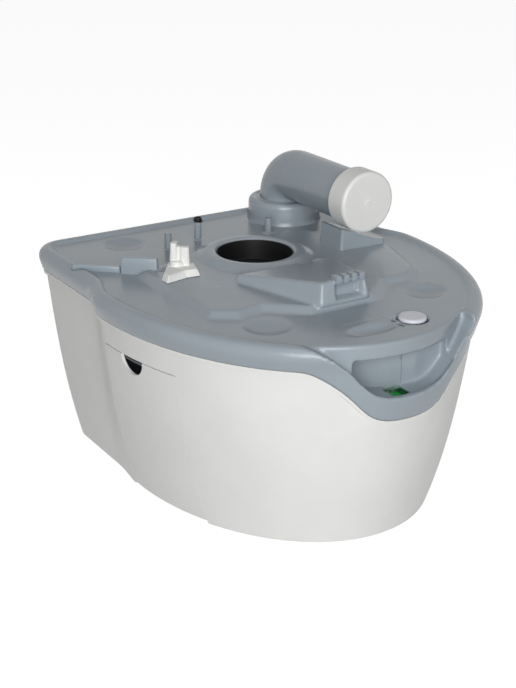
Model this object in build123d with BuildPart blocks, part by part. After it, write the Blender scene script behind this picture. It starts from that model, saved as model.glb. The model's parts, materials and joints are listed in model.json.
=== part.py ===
"""Waste-holding tank of a portable chemical toilet.

Units are millimetres. +Z is up, the hand recess faces -Y, the pour-out spout stands at the back
right and the storage door is in the left side. The origin is on the floor, under the middle.
"""
import math
import os

from build123d import *

os.makedirs("parts", exist_ok=True)

# Plan of the D-shaped body: a half ellipse in front, straight sides behind
WIDEST_Y = 30.0
STEP_Y = 83.0
LIP_Z = 195.0
RIM_TOP = 219.0
RIM_BULGE_Z = 207.0
TOP_HALF_WIDTH = 187.0
TOP_BACK_HALF_WIDTH = 174.5
TOP_FRONT = -219.0
TOP_BACK = 211.6
TAPER_WIDTH = 33.0
TAPER_BACK_WIDTH = 25.0
TAPER_FRONT = 38.0
TAPER_BACK = 20.0
CORNER_RADIUS = 25.0
LIP_OVERHANG = 3.5
RIM_OVERHANG = 7.0

# Walls and levels
CASING_WALL = 3.0
CASING_BOTTOM = 2.0
TUB_GAP = 3.6
TUB_WALL = 2.6
TUB_BOTTOM = 4.0
BAND_WALL = 10.0
HOLLOW_STEP_Z = 190.0
DECK_TOP = 215.5
DECK_UNDER = 212.0
PLATEAU_TOP = 221.5
CREST_INSET = 14.0
BEAD_HEIGHT = 3.5
RUNNING_FIT = 0.06

# Hand recess and carry handle at the front
DIP_HALF_WIDTH = 104.0
DIP_BOTTOM = 139.0
BAND_HEIGHT = 24.0
BAR_HALF_WIDTH = 54.0
BAR_UNDER = 200.0
BAR_INSET = 17.0
RECESS_BACK = -156.0
RECESS_SHALLOW_BACK = -190.0
RECESS_SPLIT_X = 10.0
SCOOP_WALL = 3.2

# Waste valve
VALVE_X, VALVE_Y = 0.0, 50.0
THROAT_RADIUS = 40.0
NECK_RADIUS = 44.0
RING_BASE_RADIUS = 62.0
RING_TOP_RADIUS = 50.0
RING_TOP = 227.0
NECK_BOTTOM = 205.0
BLADE_RADIUS = 46.0
BLADE_TOP = 202.8
BLADE_THICKNESS = 3.0
PIVOT_X, PIVOT_Y = -98.0, 42.0
SHAFT_RADIUS = 5.0
VALVE_SWING = 56.0
HOUSING_TOP = DECK_UNDER
HOUSING_FLOOR = 199.4
HOUSING_BOTTOM = 196.6

# Pour-out spout and its screw cap
SPOUT_X, SPOUT_Y = 114.0, 167.0
SPOUT_TUBE_RADIUS = 28.0
SPOUT_BORE_RADIUS = 24.8
SPOUT_AXIS_Z = 270.7
SPOUT_BEND = 30.0
SPOUT_FLANGE_RADIUS = 34.0
BOSS_RADIUS = 38.0
COLLAR_RADIUS = 41.0
COLLAR_TOP = 241.0
BOSS_TOP = 230.0
NECK_END_Y = 13.0
CAP_FACE_Y = 8.0
CAP_LENGTH = 27.0
CAP_RADIUS = 33.0
NECK_START_Y = CAP_FACE_Y + CAP_LENGTH + 3

# Vent button
VENT_X, VENT_Y = 34.0, -170.0
VENT_BUTTON_RADIUS = 14.0
VENT_SEAT_Z = 192.0
VENT_STEM_RADIUS, VENT_DISC_RADIUS = 2.5, 9.0
UPRIGHT = (Align.CENTER, Align.CENTER, Align.MIN)
HANGING = (Align.CENTER, Align.CENTER, Align.MAX)

# Level indicator
WINDOW_Y = -194.0
FLOAT_PIVOT_Y, FLOAT_PIVOT_Z = -174.0, 146.0

# Storage door in the left side
DOOR_BACK, DOOR_FRONT = 35.0, -76.0
DOOR_TOP, DOOR_BOTTOM = 166.0, 5.5
DOOR_GAP = 1.0
DOOR_AXIS_Z = 14.0
DOOR_PIN_RADIUS = 1.5
LINER_BACK, LINER_FRONT = 33.0, -74.0
LINER_FLOOR, LINER_CEILING = 21.0, 163.0
LINER_DEPTH_X = -95.0
LINER_WALL = 2.2

DIMPLES = [(92.0, -116.0), (-92.0, -116.0), (-92.0, 170.0)]
DIMPLE_RADIUS = 23.0
DIMPLE_DEPTH = 5.5
POSTS = [(-58.0, 132.0), (-15.0, 143.0), (64.0, 123.0)]
POST_RADIUS = 4.0
POST_TOP = 233.0

# Outlines and places of the deck's raised features
PLATEAU = [
    (-128.0, 66.0),
    (-128.0, -72.0),
    (-104.0, -88.0),
    (-76.0, -82.0),
    (-40.0, -112.0),
    (38.0, -112.0),
    (70.0, -84.0),
    (100.0, -84.0),
    (120.0, -70.0),
    (146.0, 10.0),
    (146.0, 60.0),
    (80.0, 112.0),
    (52.0, 100.0),
    (-60.0, 90.0),
]
TOWER = [(-62.0, -10.0), (-31.0, -115.0), (27.0, -115.0), (56.0, -10.0)]
TOWER_FRONT, TOWER_TOP = -112.0, 243.0
TOWER_WINDOW_X, TOWER_WINDOW_WIDTH = 4.0, 26.0
TOOTH_COUNT, TOOTH_PITCH, TOOTH_WIDTH = 4, 9.0, 5.5
CRADLE = [(84.0, 56.0), (84.0, 13.0), (142.0, 11.0), (142.0, 40.0)]
CRADLE_TOP = 243.0
CRADLE_SLOPE = [(90.0, CRADLE_TOP), (130.0, 228.5), (150.0, 225.0), (150.0, 250.0), (90.0, 250.0)]
CRADLE_REACH = 100.0
FENCE_LOW = ((-176.0, 121.0), (-138.0, 88.0))
FENCE_HIGH = ((-134.0, 85.0), (-114.0, 68.0))
FENCE_ANGLE = -41.0
TROUGH_Y = -171.0
BUSHING_RADIUS = 8.0
WINDOW_WIDTH, WINDOW_LENGTH = 17.0, 18.0
HOUSING_EARS = [(57.0, 50.0), (0.0, 107.0), (-37.0, -92.0), (-118.0, 42.0)]
LATCH_X, LATCH_Y, LATCH_RADIUS = 21.0, 205.0, 4.5
LEVER_FLANGE = [
    (-98.0, 21.0),
    (-83.0, 20.0),
    (-77.0, 41.0),
    (-100.0, 58.0),
    (-123.0, 28.0),
    (-123.0, 16.0),
]
GRIP_ANGLE = -26.0
GRIP_TOP = 251.0
NECK_OUTER_RADIUS = 26.5
WINDOW_TOP = 159.0
FLOAT_REACH, FLOAT_DROP = 42.0, 22.0
NOTCH_Y, NOTCH_RADIUS = -14.0, 17.0
CATCH_X = -172.0
FEET = [(-110.0, 146.0), (110.0, 146.0), (-90.0, -96.0), (90.0, -96.0)]


def taper(z):
    """Share of the taper that the barrelled wall has at height z."""
    drop = 1.0 - z / LIP_Z
    return 0.62 * drop + 0.38 * drop**3


def draw_outline(z, inset=0.0):
    """Draw the D-shaped plan of the casing wall at height z, moved inwards by inset."""
    share = taper(z)
    wide = TOP_HALF_WIDTH - TAPER_WIDTH * share - inset
    back_wide = TOP_BACK_HALF_WIDTH - TAPER_BACK_WIDTH * share - inset
    front = TOP_FRONT + TAPER_FRONT * share + inset
    back = TOP_BACK - TAPER_BACK * share - inset
    corner = max(CORNER_RADIUS - inset, 6.0)
    Line((-back_wide + corner, back), (back_wide - corner, back))
    RadiusArc((back_wide - corner, back), (back_wide, back - corner), corner)
    Line((back_wide, back - corner), (back_wide, STEP_Y))
    Spline((back_wide, STEP_Y), (wide, WIDEST_Y), tangents=((0, -1), (0, -1)))
    EllipticalCenterArc((0, WIDEST_Y), wide, WIDEST_Y - front, start_angle=-90, arc_size=90)
    EllipticalCenterArc((0, WIDEST_Y), wide, WIDEST_Y - front, start_angle=180, arc_size=90)
    Spline((-wide, WIDEST_Y), (-back_wide, STEP_Y), tangents=((0, 1), (0, 1)))
    Line((-back_wide, STEP_Y), (-back_wide, back - corner))
    RadiusArc((-back_wide, back - corner), (-back_wide + corner, back), corner)


def outline_face(z, inset=0.0):
    """Sketch of the plan at height z."""
    with BuildSketch(Plane.XY.offset(z)) as plan:
        with BuildLine():
            draw_outline(z, inset)
        make_face()
    return plan.sketch


def wall_solid(heights, inset=0.0):
    """Solid inside the casing wall, moved inwards by inset, between the heights."""
    with BuildPart() as solid:
        for z in heights:
            with BuildSketch(Plane.XY.offset(z)):
                with BuildLine():
                    draw_outline(z, inset)
                make_face()
        loft()
    return solid.part


def draw_dip(raise_by, top):
    """Draw the closed front view of everything above the dipping lip."""
    half = DIP_HALF_WIDTH
    side = 230.0
    base = DIP_BOTTOM + raise_by
    high = LIP_Z + raise_by
    Spline(
        (-half, high),
        (-86, high - 6),
        (-59, base + 27),
        (-38, base + 7),
        (0, base),
        (38, base + 7),
        (59, base + 27),
        (86, high - 6),
        (half, high),
        tangents=((1, 0), (1, 0)),
    )
    Polyline((half, high), (side, high), (side, top), (-side, top), (-side, high), (-half, high))


def above_dip(raise_by, top, back_y=-1.0):
    """Solid of everything in front of back_y that is above the dipping lip."""
    with BuildPart() as solid:
        with BuildSketch(Plane.XZ.offset(-back_y)):
            with BuildLine():
                draw_dip(raise_by, top)
            make_face()
        extrude(amount=260)
    return solid.part


def above_lip(raise_by=0.0, top=260.0):
    """Solid of everything above the lip, all round the body."""
    with BuildPart() as solid:
        add(above_dip(raise_by, top, 0.0))
        with BuildSketch(Plane.XY.offset(LIP_Z + raise_by)):
            with Locations((0, 130)):
                Rectangle(460, 260)
        extrude(amount=top - LIP_Z - raise_by)
    return solid.part


def wall_edge_x(y, z, inset=0.0):
    """Left-hand x of the casing wall at y and z, in the elliptical front part."""
    share = taper(z)
    wide = TOP_HALF_WIDTH - TAPER_WIDTH * share - inset
    deep = WIDEST_Y - TOP_FRONT - TAPER_FRONT * share - inset
    return -wide * math.sqrt(1.0 - ((y - WIDEST_Y) / deep) ** 2)


def save(solid, name):
    """Label a finished piece and write it as its own node."""
    solid.label = name
    export_step(solid, f"parts/{name}.step")


# Outer casing: one tapered skin with a bead under its dipping top edge
wall_heights = [-3.0, 30.0, 70.0, 120.0, 165.0, 200.0]
outer_wall = wall_solid(wall_heights)
inner_wall = wall_solid(wall_heights, CASING_WALL)

with BuildPart() as outer_casing:
    add(wall_solid([120.0, 165.0, 200.0], 0.6 - LIP_OVERHANG))
    add(above_lip(-BEAD_HEIGHT), mode=Mode.INTERSECT)
    add(outer_wall)
    add(inner_wall, mode=Mode.SUBTRACT)
    add(above_lip(), mode=Mode.SUBTRACT)
    with BuildSketch(Plane.XY.offset(-10)):
        Rectangle(460, 520)
    extrude(amount=10 + CASING_BOTTOM, mode=Mode.SUBTRACT)
    with BuildSketch(Plane.YZ.offset(-210)):
        with Locations(((DOOR_BACK + DOOR_FRONT) / 2, DOOR_TOP / 2)):
            Rectangle(DOOR_BACK - DOOR_FRONT + 2 * DOOR_GAP, DOOR_TOP + 2 * DOOR_GAP)
        fillet(vertices().group_by(Axis.Y)[-1], 5)
    extrude(amount=110, mode=Mode.SUBTRACT)
save(outer_casing.part, "outer_casing")

# Tub: lower half of the waste tank, with a pocket that leaves room for the storage box
with BuildPart() as tank_tub:
    add(wall_solid(wall_heights, TUB_GAP))
    with BuildSketch(Plane.XY.offset(-10)):
        Rectangle(460, 520)
    extrude(amount=10 + TUB_BOTTOM, mode=Mode.SUBTRACT)
    pocket_front, pocket_back = LINER_FRONT - 6, LINER_BACK + 6
    with BuildSketch(Plane.XY.offset(-10)):
        with Locations((LINER_DEPTH_X - 100 + 3, (pocket_front + pocket_back) / 2)):
            Rectangle(200, pocket_back - pocket_front)
        fillet(vertices().group_by(Axis.X)[-1], 12)
    extrude(amount=10 + LINER_CEILING + 5, mode=Mode.SUBTRACT)
    with BuildPart(mode=Mode.PRIVATE) as tub_hollow:
        add(wall_solid(wall_heights, TUB_GAP + TUB_WALL))
        with BuildSketch(Plane.XY.offset(-10)):
            Rectangle(460, 520)
        extrude(amount=10 + TUB_BOTTOM + TUB_WALL, mode=Mode.SUBTRACT)
        with BuildSketch(Plane.XY.offset(-10)):
            with Locations((LINER_DEPTH_X - 100 + 3 + TUB_WALL, (pocket_front + pocket_back) / 2)):
                Rectangle(200, pocket_back - pocket_front + 2 * TUB_WALL)
            fillet(vertices().group_by(Axis.X)[-1], 12 + TUB_WALL)
        extrude(amount=10 + LINER_CEILING + 5 + TUB_WALL, mode=Mode.SUBTRACT)
    add(tub_hollow.part, mode=Mode.SUBTRACT)
    add(above_lip(), mode=Mode.SUBTRACT)
save(tank_tub.part, "tank_tub")


def front_mouth(grow):
    """Air in front of the carry handle, above the dipped band, widened by grow."""
    with BuildPart() as mouth:
        with BuildSketch(Plane.XY.offset(120)):
            with Locations((0, -190)):
                Rectangle(460, 180)
            add(outline_face(LIP_Z, BAR_INSET - RIM_OVERHANG + grow), mode=Mode.SUBTRACT)
        extrude(amount=140)
        add(above_dip(BAND_HEIGHT - 1.1 * grow, 255, -100.0), mode=Mode.INTERSECT)
    return mouth.part


def finger_recess(grow, ceiling):
    """Air under the carry handle, deep on the left and shallow beside the vent."""
    half = BAR_HALF_WIDTH + grow
    with BuildPart() as recess:
        with BuildSketch(Plane.XY.offset(120)):
            with BuildLine():
                Polyline(
                    (-half, -210 - grow),
                    (half, -210 - grow),
                    (half, RECESS_SHALLOW_BACK + grow),
                    (RECESS_SPLIT_X + grow, RECESS_SHALLOW_BACK + grow),
                    (RECESS_SPLIT_X + grow, RECESS_BACK + grow),
                    (-half, RECESS_BACK + grow),
                    close=True,
                )
            make_face()
            fillet(vertices().group_by(Axis.Y)[-1], 8 + grow)
        extrude(amount=ceiling - 120)
        add(above_dip(BAND_HEIGHT - 4 - 1.1 * grow, 255, -100.0), mode=Mode.INTERSECT)
    return recess.part


# Deck: top moulding with its rolled rim, hollow underneath, open at the hand recess
with BuildPart() as tank_deck:
    for z in (128.0, 165.0, LIP_Z):
        with BuildSketch(Plane.XY.offset(z)):
            with BuildLine():
                draw_outline(z, -LIP_OVERHANG)
            make_face()
    loft()
    add(outline_face(LIP_Z, -LIP_OVERHANG))
    with BuildSketch(Plane.XY.offset(RIM_BULGE_Z)):
        with BuildLine():
            draw_outline(LIP_Z, -RIM_OVERHANG)
        make_face()
    loft()
    with BuildSketch(Plane.XY.offset(RIM_BULGE_Z)):
        with BuildLine():
            draw_outline(LIP_Z, -RIM_OVERHANG)
        make_face()
    extrude(amount=RIM_TOP - RIM_BULGE_Z)
    fillet(faces().sort_by(Axis.Z)[-1].outer_wire().edges(), 9.0)
    add(above_lip(), mode=Mode.INTERSECT)
    with BuildSketch(Plane.XY.offset(DECK_TOP)):
        with BuildLine():
            draw_outline(LIP_Z, CREST_INSET - RIM_OVERHANG)
        make_face()
    extrude(amount=20, mode=Mode.SUBTRACT)
    with BuildPart(mode=Mode.PRIVATE) as under_deck:
        add(wall_solid([120.0, 165.0, 200.0], BAND_WALL - LIP_OVERHANG))
        with BuildSketch(Plane.XY.offset(HOLLOW_STEP_Z)):
            with BuildLine():
                draw_outline(LIP_Z, BAND_WALL)
            make_face()
        extrude(amount=DECK_UNDER - HOLLOW_STEP_Z)
        add(front_mouth(SCOOP_WALL), mode=Mode.SUBTRACT)
        add(finger_recess(SCOOP_WALL, 255), mode=Mode.SUBTRACT)
    add(under_deck.part, mode=Mode.SUBTRACT)
    add(front_mouth(0.0), mode=Mode.SUBTRACT)
    add(finger_recess(0.0, BAR_UNDER), mode=Mode.SUBTRACT)

    # Plateau that houses the swinging blade, with the ring's round seat
    with BuildSketch(Plane.XY.offset(DECK_TOP - 1)) as plateau_plan:
        with BuildLine():
            Polyline(*PLATEAU, close=True)
        make_face()
        fillet(vertices(), 12)
        with Locations((VALVE_X, VALVE_Y)):
            Circle(RING_BASE_RADIUS + 2)
    extrude(amount=PLATEAU_TOP - DECK_TOP + 1)
    plateau_edges = edges().filter_by_position(Axis.Z, PLATEAU_TOP - 0.01, PLATEAU_TOP + 0.01)
    chamfer(plateau_edges, length=4.5, length2=4.0)

    # Wedge-shaped tower in front of the ring: a ramp that climbs towards the front
    with BuildPart(mode=Mode.PRIVATE) as tower:
        with BuildSketch(Plane.XY.offset(PLATEAU_TOP - 1)):
            with BuildLine():
                Polyline(*TOWER, close=True)
            make_face()
            fillet(vertices().group_by(Axis.Y)[0], 5)
        extrude(amount=40, taper=14)
        with BuildSketch(Plane.YZ.offset(-80)):
            with BuildLine():
                Polyline(
                    (VALVE_Y, PLATEAU_TOP - 3),
                    (VALVE_Y - RING_TOP_RADIUS, RING_TOP),
                    (TOWER_FRONT, TOWER_TOP),
                    (TOWER_FRONT - 30, TOWER_TOP),
                    (TOWER_FRONT - 30, PLATEAU_TOP - 3),
                    close=True,
                )
            make_face()
        extrude(amount=160, mode=Mode.INTERSECT)
        with Locations((TOWER_WINDOW_X, TOWER_FRONT + 3, TOWER_TOP - 11)):
            Box(TOWER_WINDOW_WIDTH, 12, 11, mode=Mode.SUBTRACT)
        with Locations((VALVE_X, VALVE_Y, PLATEAU_TOP)):
            Cylinder(
                RING_BASE_RADIUS + 0.1,
                40,
                align=UPRIGHT,
                mode=Mode.SUBTRACT,
            )
    add(tower.part)
    with Locations((TOWER_WINDOW_X, TOWER_FRONT + 4.2, TOWER_TOP - 1.5)):
        with GridLocations(TOOTH_PITCH, 0, TOOTH_COUNT, 1):
            Box(TOOTH_WIDTH, 7, 8)

    # Spout boss, locating posts, low round boss and the fence beside the lever
    with Locations((SPOUT_X, SPOUT_Y, DECK_UNDER)):
        Cylinder(BOSS_RADIUS, BOSS_TOP - DECK_UNDER, align=UPRIGHT)
    with Locations(*[(x, y, DECK_TOP - 1) for x, y in POSTS]):
        Cylinder(POST_RADIUS, POST_TOP - DECK_TOP + 1, align=UPRIGHT)
    with Locations((-29, 110, DECK_TOP - 1)):
        Cylinder(9, 3.8, align=UPRIGHT)
    for path, width, height in ((FENCE_LOW, 5.0, 6.0), (FENCE_HIGH, 9.0, 17.0)):
        with BuildSketch(Plane.XY.offset(DECK_TOP - 1)):
            with BuildLine():
                fence_line = Line(*path)
            with Locations(Location(fence_line @ 0.5, (0, 0, FENCE_ANGLE))):
                SlotCenterToCenter(fence_line.length, width)
        extrude(amount=height + 1)

    # Finger dimples with thickened undersides, and the trough behind the handle
    with Locations(*[(x, y, DECK_UNDER - 4) for x, y in DIMPLES]):
        Cylinder(DIMPLE_RADIUS + 3, 5, align=UPRIGHT)
    ball = (DIMPLE_RADIUS**2 + DIMPLE_DEPTH**2) / (2 * DIMPLE_DEPTH)
    with Locations(*[(x, y, DECK_TOP - DIMPLE_DEPTH + ball) for x, y in DIMPLES]):
        Sphere(ball, mode=Mode.SUBTRACT)
    with BuildSketch(Plane.YZ.offset(-36)):
        with Locations((TROUGH_Y, DECK_TOP + 22)):
            Circle(28)
    extrude(amount=52, mode=Mode.SUBTRACT)

    # Bores of the valve, its shaft, the spout, the vent and the level window
    with Locations((VALVE_X, VALVE_Y, 200)):
        Cylinder(NECK_RADIUS + 0.1, 60, mode=Mode.SUBTRACT)
    with Locations((PIVOT_X, PIVOT_Y, 200)):
        Cylinder(BUSHING_RADIUS + 0.05, 60, mode=Mode.SUBTRACT)
    with Locations((SPOUT_X, SPOUT_Y, 210)):
        Cylinder(SPOUT_TUBE_RADIUS + 0.3, 60, mode=Mode.SUBTRACT)
    with Locations((VENT_X, VENT_Y, VENT_SEAT_Z)):
        Cylinder(VENT_BUTTON_RADIUS + 3.5, DECK_TOP - VENT_SEAT_Z - 1, align=UPRIGHT)
        Cylinder(VENT_BUTTON_RADIUS + 0.8, 60, align=UPRIGHT, mode=Mode.SUBTRACT)
    with Locations((0, WINDOW_Y, 160)):
        Box(WINDOW_WIDTH + 0.1, WINDOW_LENGTH + 0.1, 24, mode=Mode.SUBTRACT)
    with Locations(*[(x, y, HOUSING_TOP) for x, y in HOUSING_EARS]):
        Cylinder(1.6, 12, mode=Mode.SUBTRACT)
    with Locations((LATCH_X, LATCH_Y, RIM_TOP)):
        Cylinder(LATCH_RADIUS + 0.05, 16, mode=Mode.SUBTRACT)
save(tank_deck.part, "tank_deck")

# Cradle under the spout's cap: a horn on the left and a slope that falls away to the right
with BuildPart() as cap_cradle:
    with BuildSketch(Plane.XY.offset(DECK_TOP)):
        with BuildLine():
            Polyline(*CRADLE, close=True)
        make_face()
        fillet(vertices(), 4)
    extrude(amount=CRADLE_TOP - DECK_TOP, taper=4)
    with BuildSketch(Plane.XZ.offset(CRADLE_REACH)):
        with BuildLine():
            Polyline(*CRADLE_SLOPE, close=True)
        make_face()
    extrude(amount=-3 * CRADLE_REACH, mode=Mode.SUBTRACT)
    add(tank_deck.part, mode=Mode.SUBTRACT)
save(cap_cradle.part, "cap_cradle")

# Valve: raised ring with its neck, rubber lip seal, swinging blade, shaft and lever
with BuildPart() as valve_collar:
    with BuildSketch(Plane.XZ.offset(-VALVE_Y)):
        with BuildLine():
            Polyline(
                (THROAT_RADIUS, NECK_BOTTOM),
                (NECK_RADIUS, NECK_BOTTOM),
                (NECK_RADIUS, PLATEAU_TOP),
                (RING_BASE_RADIUS, PLATEAU_TOP),
                (RING_BASE_RADIUS, PLATEAU_TOP + 0.8),
                (RING_TOP_RADIUS, RING_TOP),
                (THROAT_RADIUS + 2.5, RING_TOP),
                (THROAT_RADIUS, RING_TOP - 2.5),
                close=True,
            )
        make_face()
    revolve(axis=Axis((VALVE_X, VALVE_Y, 0), (0, 0, 1)))
save(valve_collar.part, "valve_collar")

with BuildPart() as lip_seal:
    with BuildSketch(Plane.XZ.offset(-VALVE_Y)):
        with BuildLine():
            Polyline(
                (THROAT_RADIUS + 0.5, BLADE_TOP + 0.3),
                (NECK_RADIUS + 3, BLADE_TOP + 0.3),
                (NECK_RADIUS + 3, DECK_UNDER),
                (NECK_RADIUS + 0.1, DECK_UNDER),
                (NECK_RADIUS + 0.1, NECK_BOTTOM),
                (THROAT_RADIUS + 0.5, NECK_BOTTOM),
                close=True,
            )
        make_face()
    revolve(axis=Axis((VALVE_X, VALVE_Y, 0), (0, 0, 1)))
save(lip_seal.part, "lip_seal")

blade_reach = math.dist((PIVOT_X, PIVOT_Y), (VALVE_X, VALVE_Y))
blade_angle = math.degrees(math.atan2(VALVE_Y - PIVOT_Y, VALVE_X - PIVOT_X))


def swung_centre(share):
    """Centre of the blade after a share of its swing."""
    turn = math.radians(blade_angle - VALVE_SWING * share)
    return PIVOT_X + blade_reach * math.cos(turn), PIVOT_Y + blade_reach * math.sin(turn)


def swept_plan(disc_radius, pivot_radius):
    """Hull round the pivot and every place that the blade's disc passes."""
    with BuildSketch(mode=Mode.PRIVATE) as plan:
        with BuildLine():
            CenterArc((PIVOT_X, PIVOT_Y), pivot_radius, 0, 360)
            for step in range(5):
                CenterArc(swung_centre(step / 4), disc_radius, 0, 360)
        make_hull()
    return plan.sketch


with BuildPart() as valve_blade:
    with BuildSketch(Plane.XY.offset(BLADE_TOP - BLADE_THICKNESS)):
        with Locations((VALVE_X, VALVE_Y)):
            Circle(BLADE_RADIUS)
        with BuildLine():
            Polyline(
                (PIVOT_X, PIVOT_Y + 9),
                (VALVE_X - 30, VALVE_Y + 24),
                (VALVE_X - 30, VALVE_Y - 24),
                (PIVOT_X, PIVOT_Y - 9),
                close=True,
            )
        make_face()
        with Locations((PIVOT_X, PIVOT_Y)):
            Circle(9)
    extrude(amount=BLADE_THICKNESS)
    with Locations((PIVOT_X, PIVOT_Y, BLADE_TOP)):
        Cylinder(9, 3, align=UPRIGHT)
    with Locations((PIVOT_X, PIVOT_Y, 200)):
        Cylinder(SHAFT_RADIUS, 60, mode=Mode.SUBTRACT)
save(valve_blade.part, "valve_blade")

with BuildPart() as blade_housing:
    with BuildSketch(Plane.XY.offset(HOUSING_BOTTOM)):
        add(swept_plan(BLADE_RADIUS + 6.5, 16))
    extrude(amount=HOUSING_TOP - HOUSING_BOTTOM)
    with BuildSketch(Plane.XY.offset(HOUSING_TOP - 5)):
        with Locations(*HOUSING_EARS):
            Circle(5.5)
    extrude(amount=5)
    with BuildSketch(Plane.XY.offset(HOUSING_FLOOR)):
        add(swept_plan(BLADE_RADIUS + 4, 13.5))
    extrude(amount=20, mode=Mode.SUBTRACT)
    with Locations((VALVE_X, VALVE_Y, 190)):
        Cylinder(THROAT_RADIUS + 1, 30, mode=Mode.SUBTRACT)
    with Locations(*[(x, y, HOUSING_TOP) for x, y in HOUSING_EARS]):
        Cylinder(1.6, 20, mode=Mode.SUBTRACT)
save(blade_housing.part, "blade_housing")

with BuildPart() as housing_screws:
    with Locations(*[(x, y, HOUSING_TOP - 5) for x, y in HOUSING_EARS]):
        Cylinder(1.5, 10, align=UPRIGHT)
        Cylinder(3.2, 2.2, align=HANGING)
save(housing_screws.part, "housing_screws")

SHAFT_TOP = 232.0
with BuildPart() as valve_shaft:
    with Locations((PIVOT_X, PIVOT_Y, BLADE_TOP - BLADE_THICKNESS)):
        Cylinder(SHAFT_RADIUS, SHAFT_TOP - BLADE_TOP + BLADE_THICKNESS, align=UPRIGHT)
    with Locations((PIVOT_X, PIVOT_Y, SHAFT_TOP)):
        Cylinder(1.2, 20, mode=Mode.SUBTRACT)
    chamfer(edges().group_by(Axis.Z)[0], 0.6)
save(valve_shaft.part, "valve_shaft")

with BuildPart() as shaft_bushing:
    with Locations((PIVOT_X, PIVOT_Y, DECK_UNDER)):
        Cylinder(BUSHING_RADIUS, PLATEAU_TOP - DECK_UNDER, align=UPRIGHT)
        Cylinder(BUSHING_RADIUS + 3.5, 1.6, align=HANGING)
    with Locations((PIVOT_X, PIVOT_Y, DECK_UNDER)):
        Cylinder(SHAFT_RADIUS + RUNNING_FIT, 60, mode=Mode.SUBTRACT)
save(shaft_bushing.part, "shaft_bushing")

with BuildPart() as shaft_seal:
    with BuildSketch(Plane.XY.offset(DECK_UNDER - 1.6 - 2.5)):
        with Locations((PIVOT_X, PIVOT_Y)):
            Circle(SHAFT_RADIUS + 2.5)
            Circle(SHAFT_RADIUS + 0.1, mode=Mode.SUBTRACT)
    extrude(amount=2.4)
save(shaft_seal.part, "shaft_seal")

# Lever: flange that hides the bushing and an upright grip with a taller rib
with BuildPart() as valve_knob:
    with BuildSketch(Plane.XY.offset(PLATEAU_TOP + 0.4)):
        with BuildLine():
            Polyline(*LEVER_FLANGE, close=True)
        make_face()
        fillet(vertices(), 4)
    extrude(amount=5, taper=10)
    with BuildSketch(Plane.XY.offset(PLATEAU_TOP + 3)):
        with Locations(Location((PIVOT_X + 2, PIVOT_Y + 1.5), GRIP_ANGLE)):
            SlotOverall(30, 10)
    extrude(amount=22, taper=3)
    with BuildSketch(Plane.XY.offset(PLATEAU_TOP + 3)):
        with Locations(Location((PIVOT_X - 6, PIVOT_Y + 6), GRIP_ANGLE)):
            SlotOverall(13, 12)
    extrude(amount=GRIP_TOP - PLATEAU_TOP - 3, taper=3)
    fillet(edges().group_by(Axis.Z)[-1], 2)
    with Locations((PIVOT_X, PIVOT_Y, SHAFT_TOP)):
        Cylinder(SHAFT_RADIUS, 60, align=HANGING, mode=Mode.SUBTRACT)
save(valve_knob.part, "valve_knob")

# Spout: swivelling elbow, gasket, collar, screw cap and its liner
with BuildPart() as spout_elbow:
    with BuildLine() as elbow_path:
        Line((SPOUT_X, SPOUT_Y, BOSS_TOP - 14), (SPOUT_X, SPOUT_Y, SPOUT_AXIS_Z - SPOUT_BEND))
        TangentArc(
            (SPOUT_X, SPOUT_Y, SPOUT_AXIS_Z - SPOUT_BEND),
            (SPOUT_X, SPOUT_Y - SPOUT_BEND, SPOUT_AXIS_Z),
            tangent=(0, 0, 1),
        )
        Line((SPOUT_X, SPOUT_Y - SPOUT_BEND, SPOUT_AXIS_Z), (SPOUT_X, NECK_START_Y, SPOUT_AXIS_Z))
    with BuildSketch(Plane.XY.offset(BOSS_TOP - 14)):
        with Locations((SPOUT_X, SPOUT_Y)):
            Circle(SPOUT_TUBE_RADIUS)
    sweep()
    with Locations((SPOUT_X, SPOUT_Y, BOSS_TOP + 1)):
        Cylinder(SPOUT_FLANGE_RADIUS, 3.5, align=UPRIGHT)
    with BuildSketch(Plane.XZ.offset(-NECK_START_Y)):
        with Locations((SPOUT_X, SPOUT_AXIS_Z)):
            Circle(NECK_OUTER_RADIUS)
    extrude(amount=NECK_START_Y - NECK_END_Y)
    with BuildPart(mode=Mode.PRIVATE) as elbow_bore:
        with BuildLine():
            Line((SPOUT_X, SPOUT_Y, BOSS_TOP - 20), (SPOUT_X, SPOUT_Y, SPOUT_AXIS_Z - SPOUT_BEND))
            TangentArc(
                (SPOUT_X, SPOUT_Y, SPOUT_AXIS_Z - SPOUT_BEND),
                (SPOUT_X, SPOUT_Y - SPOUT_BEND, SPOUT_AXIS_Z),
                tangent=(0, 0, 1),
            )
            Line((SPOUT_X, SPOUT_Y - SPOUT_BEND, SPOUT_AXIS_Z), (SPOUT_X, NECK_END_Y - 5, SPOUT_AXIS_Z))
        with BuildSketch(Plane.XY.offset(BOSS_TOP - 20)):
            with Locations((SPOUT_X, SPOUT_Y)):
                Circle(SPOUT_BORE_RADIUS)
        sweep()
    add(elbow_bore.part, mode=Mode.SUBTRACT)
save(spout_elbow.part, "spout_elbow")

with BuildPart() as elbow_seal:
    with BuildSketch(Plane.XY.offset(BOSS_TOP)):
        with Locations((SPOUT_X, SPOUT_Y)):
            Circle(SPOUT_FLANGE_RADIUS)
            Circle(SPOUT_TUBE_RADIUS + 0.3, mode=Mode.SUBTRACT)
    extrude(amount=0.9)
save(elbow_seal.part, "elbow_seal")

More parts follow.
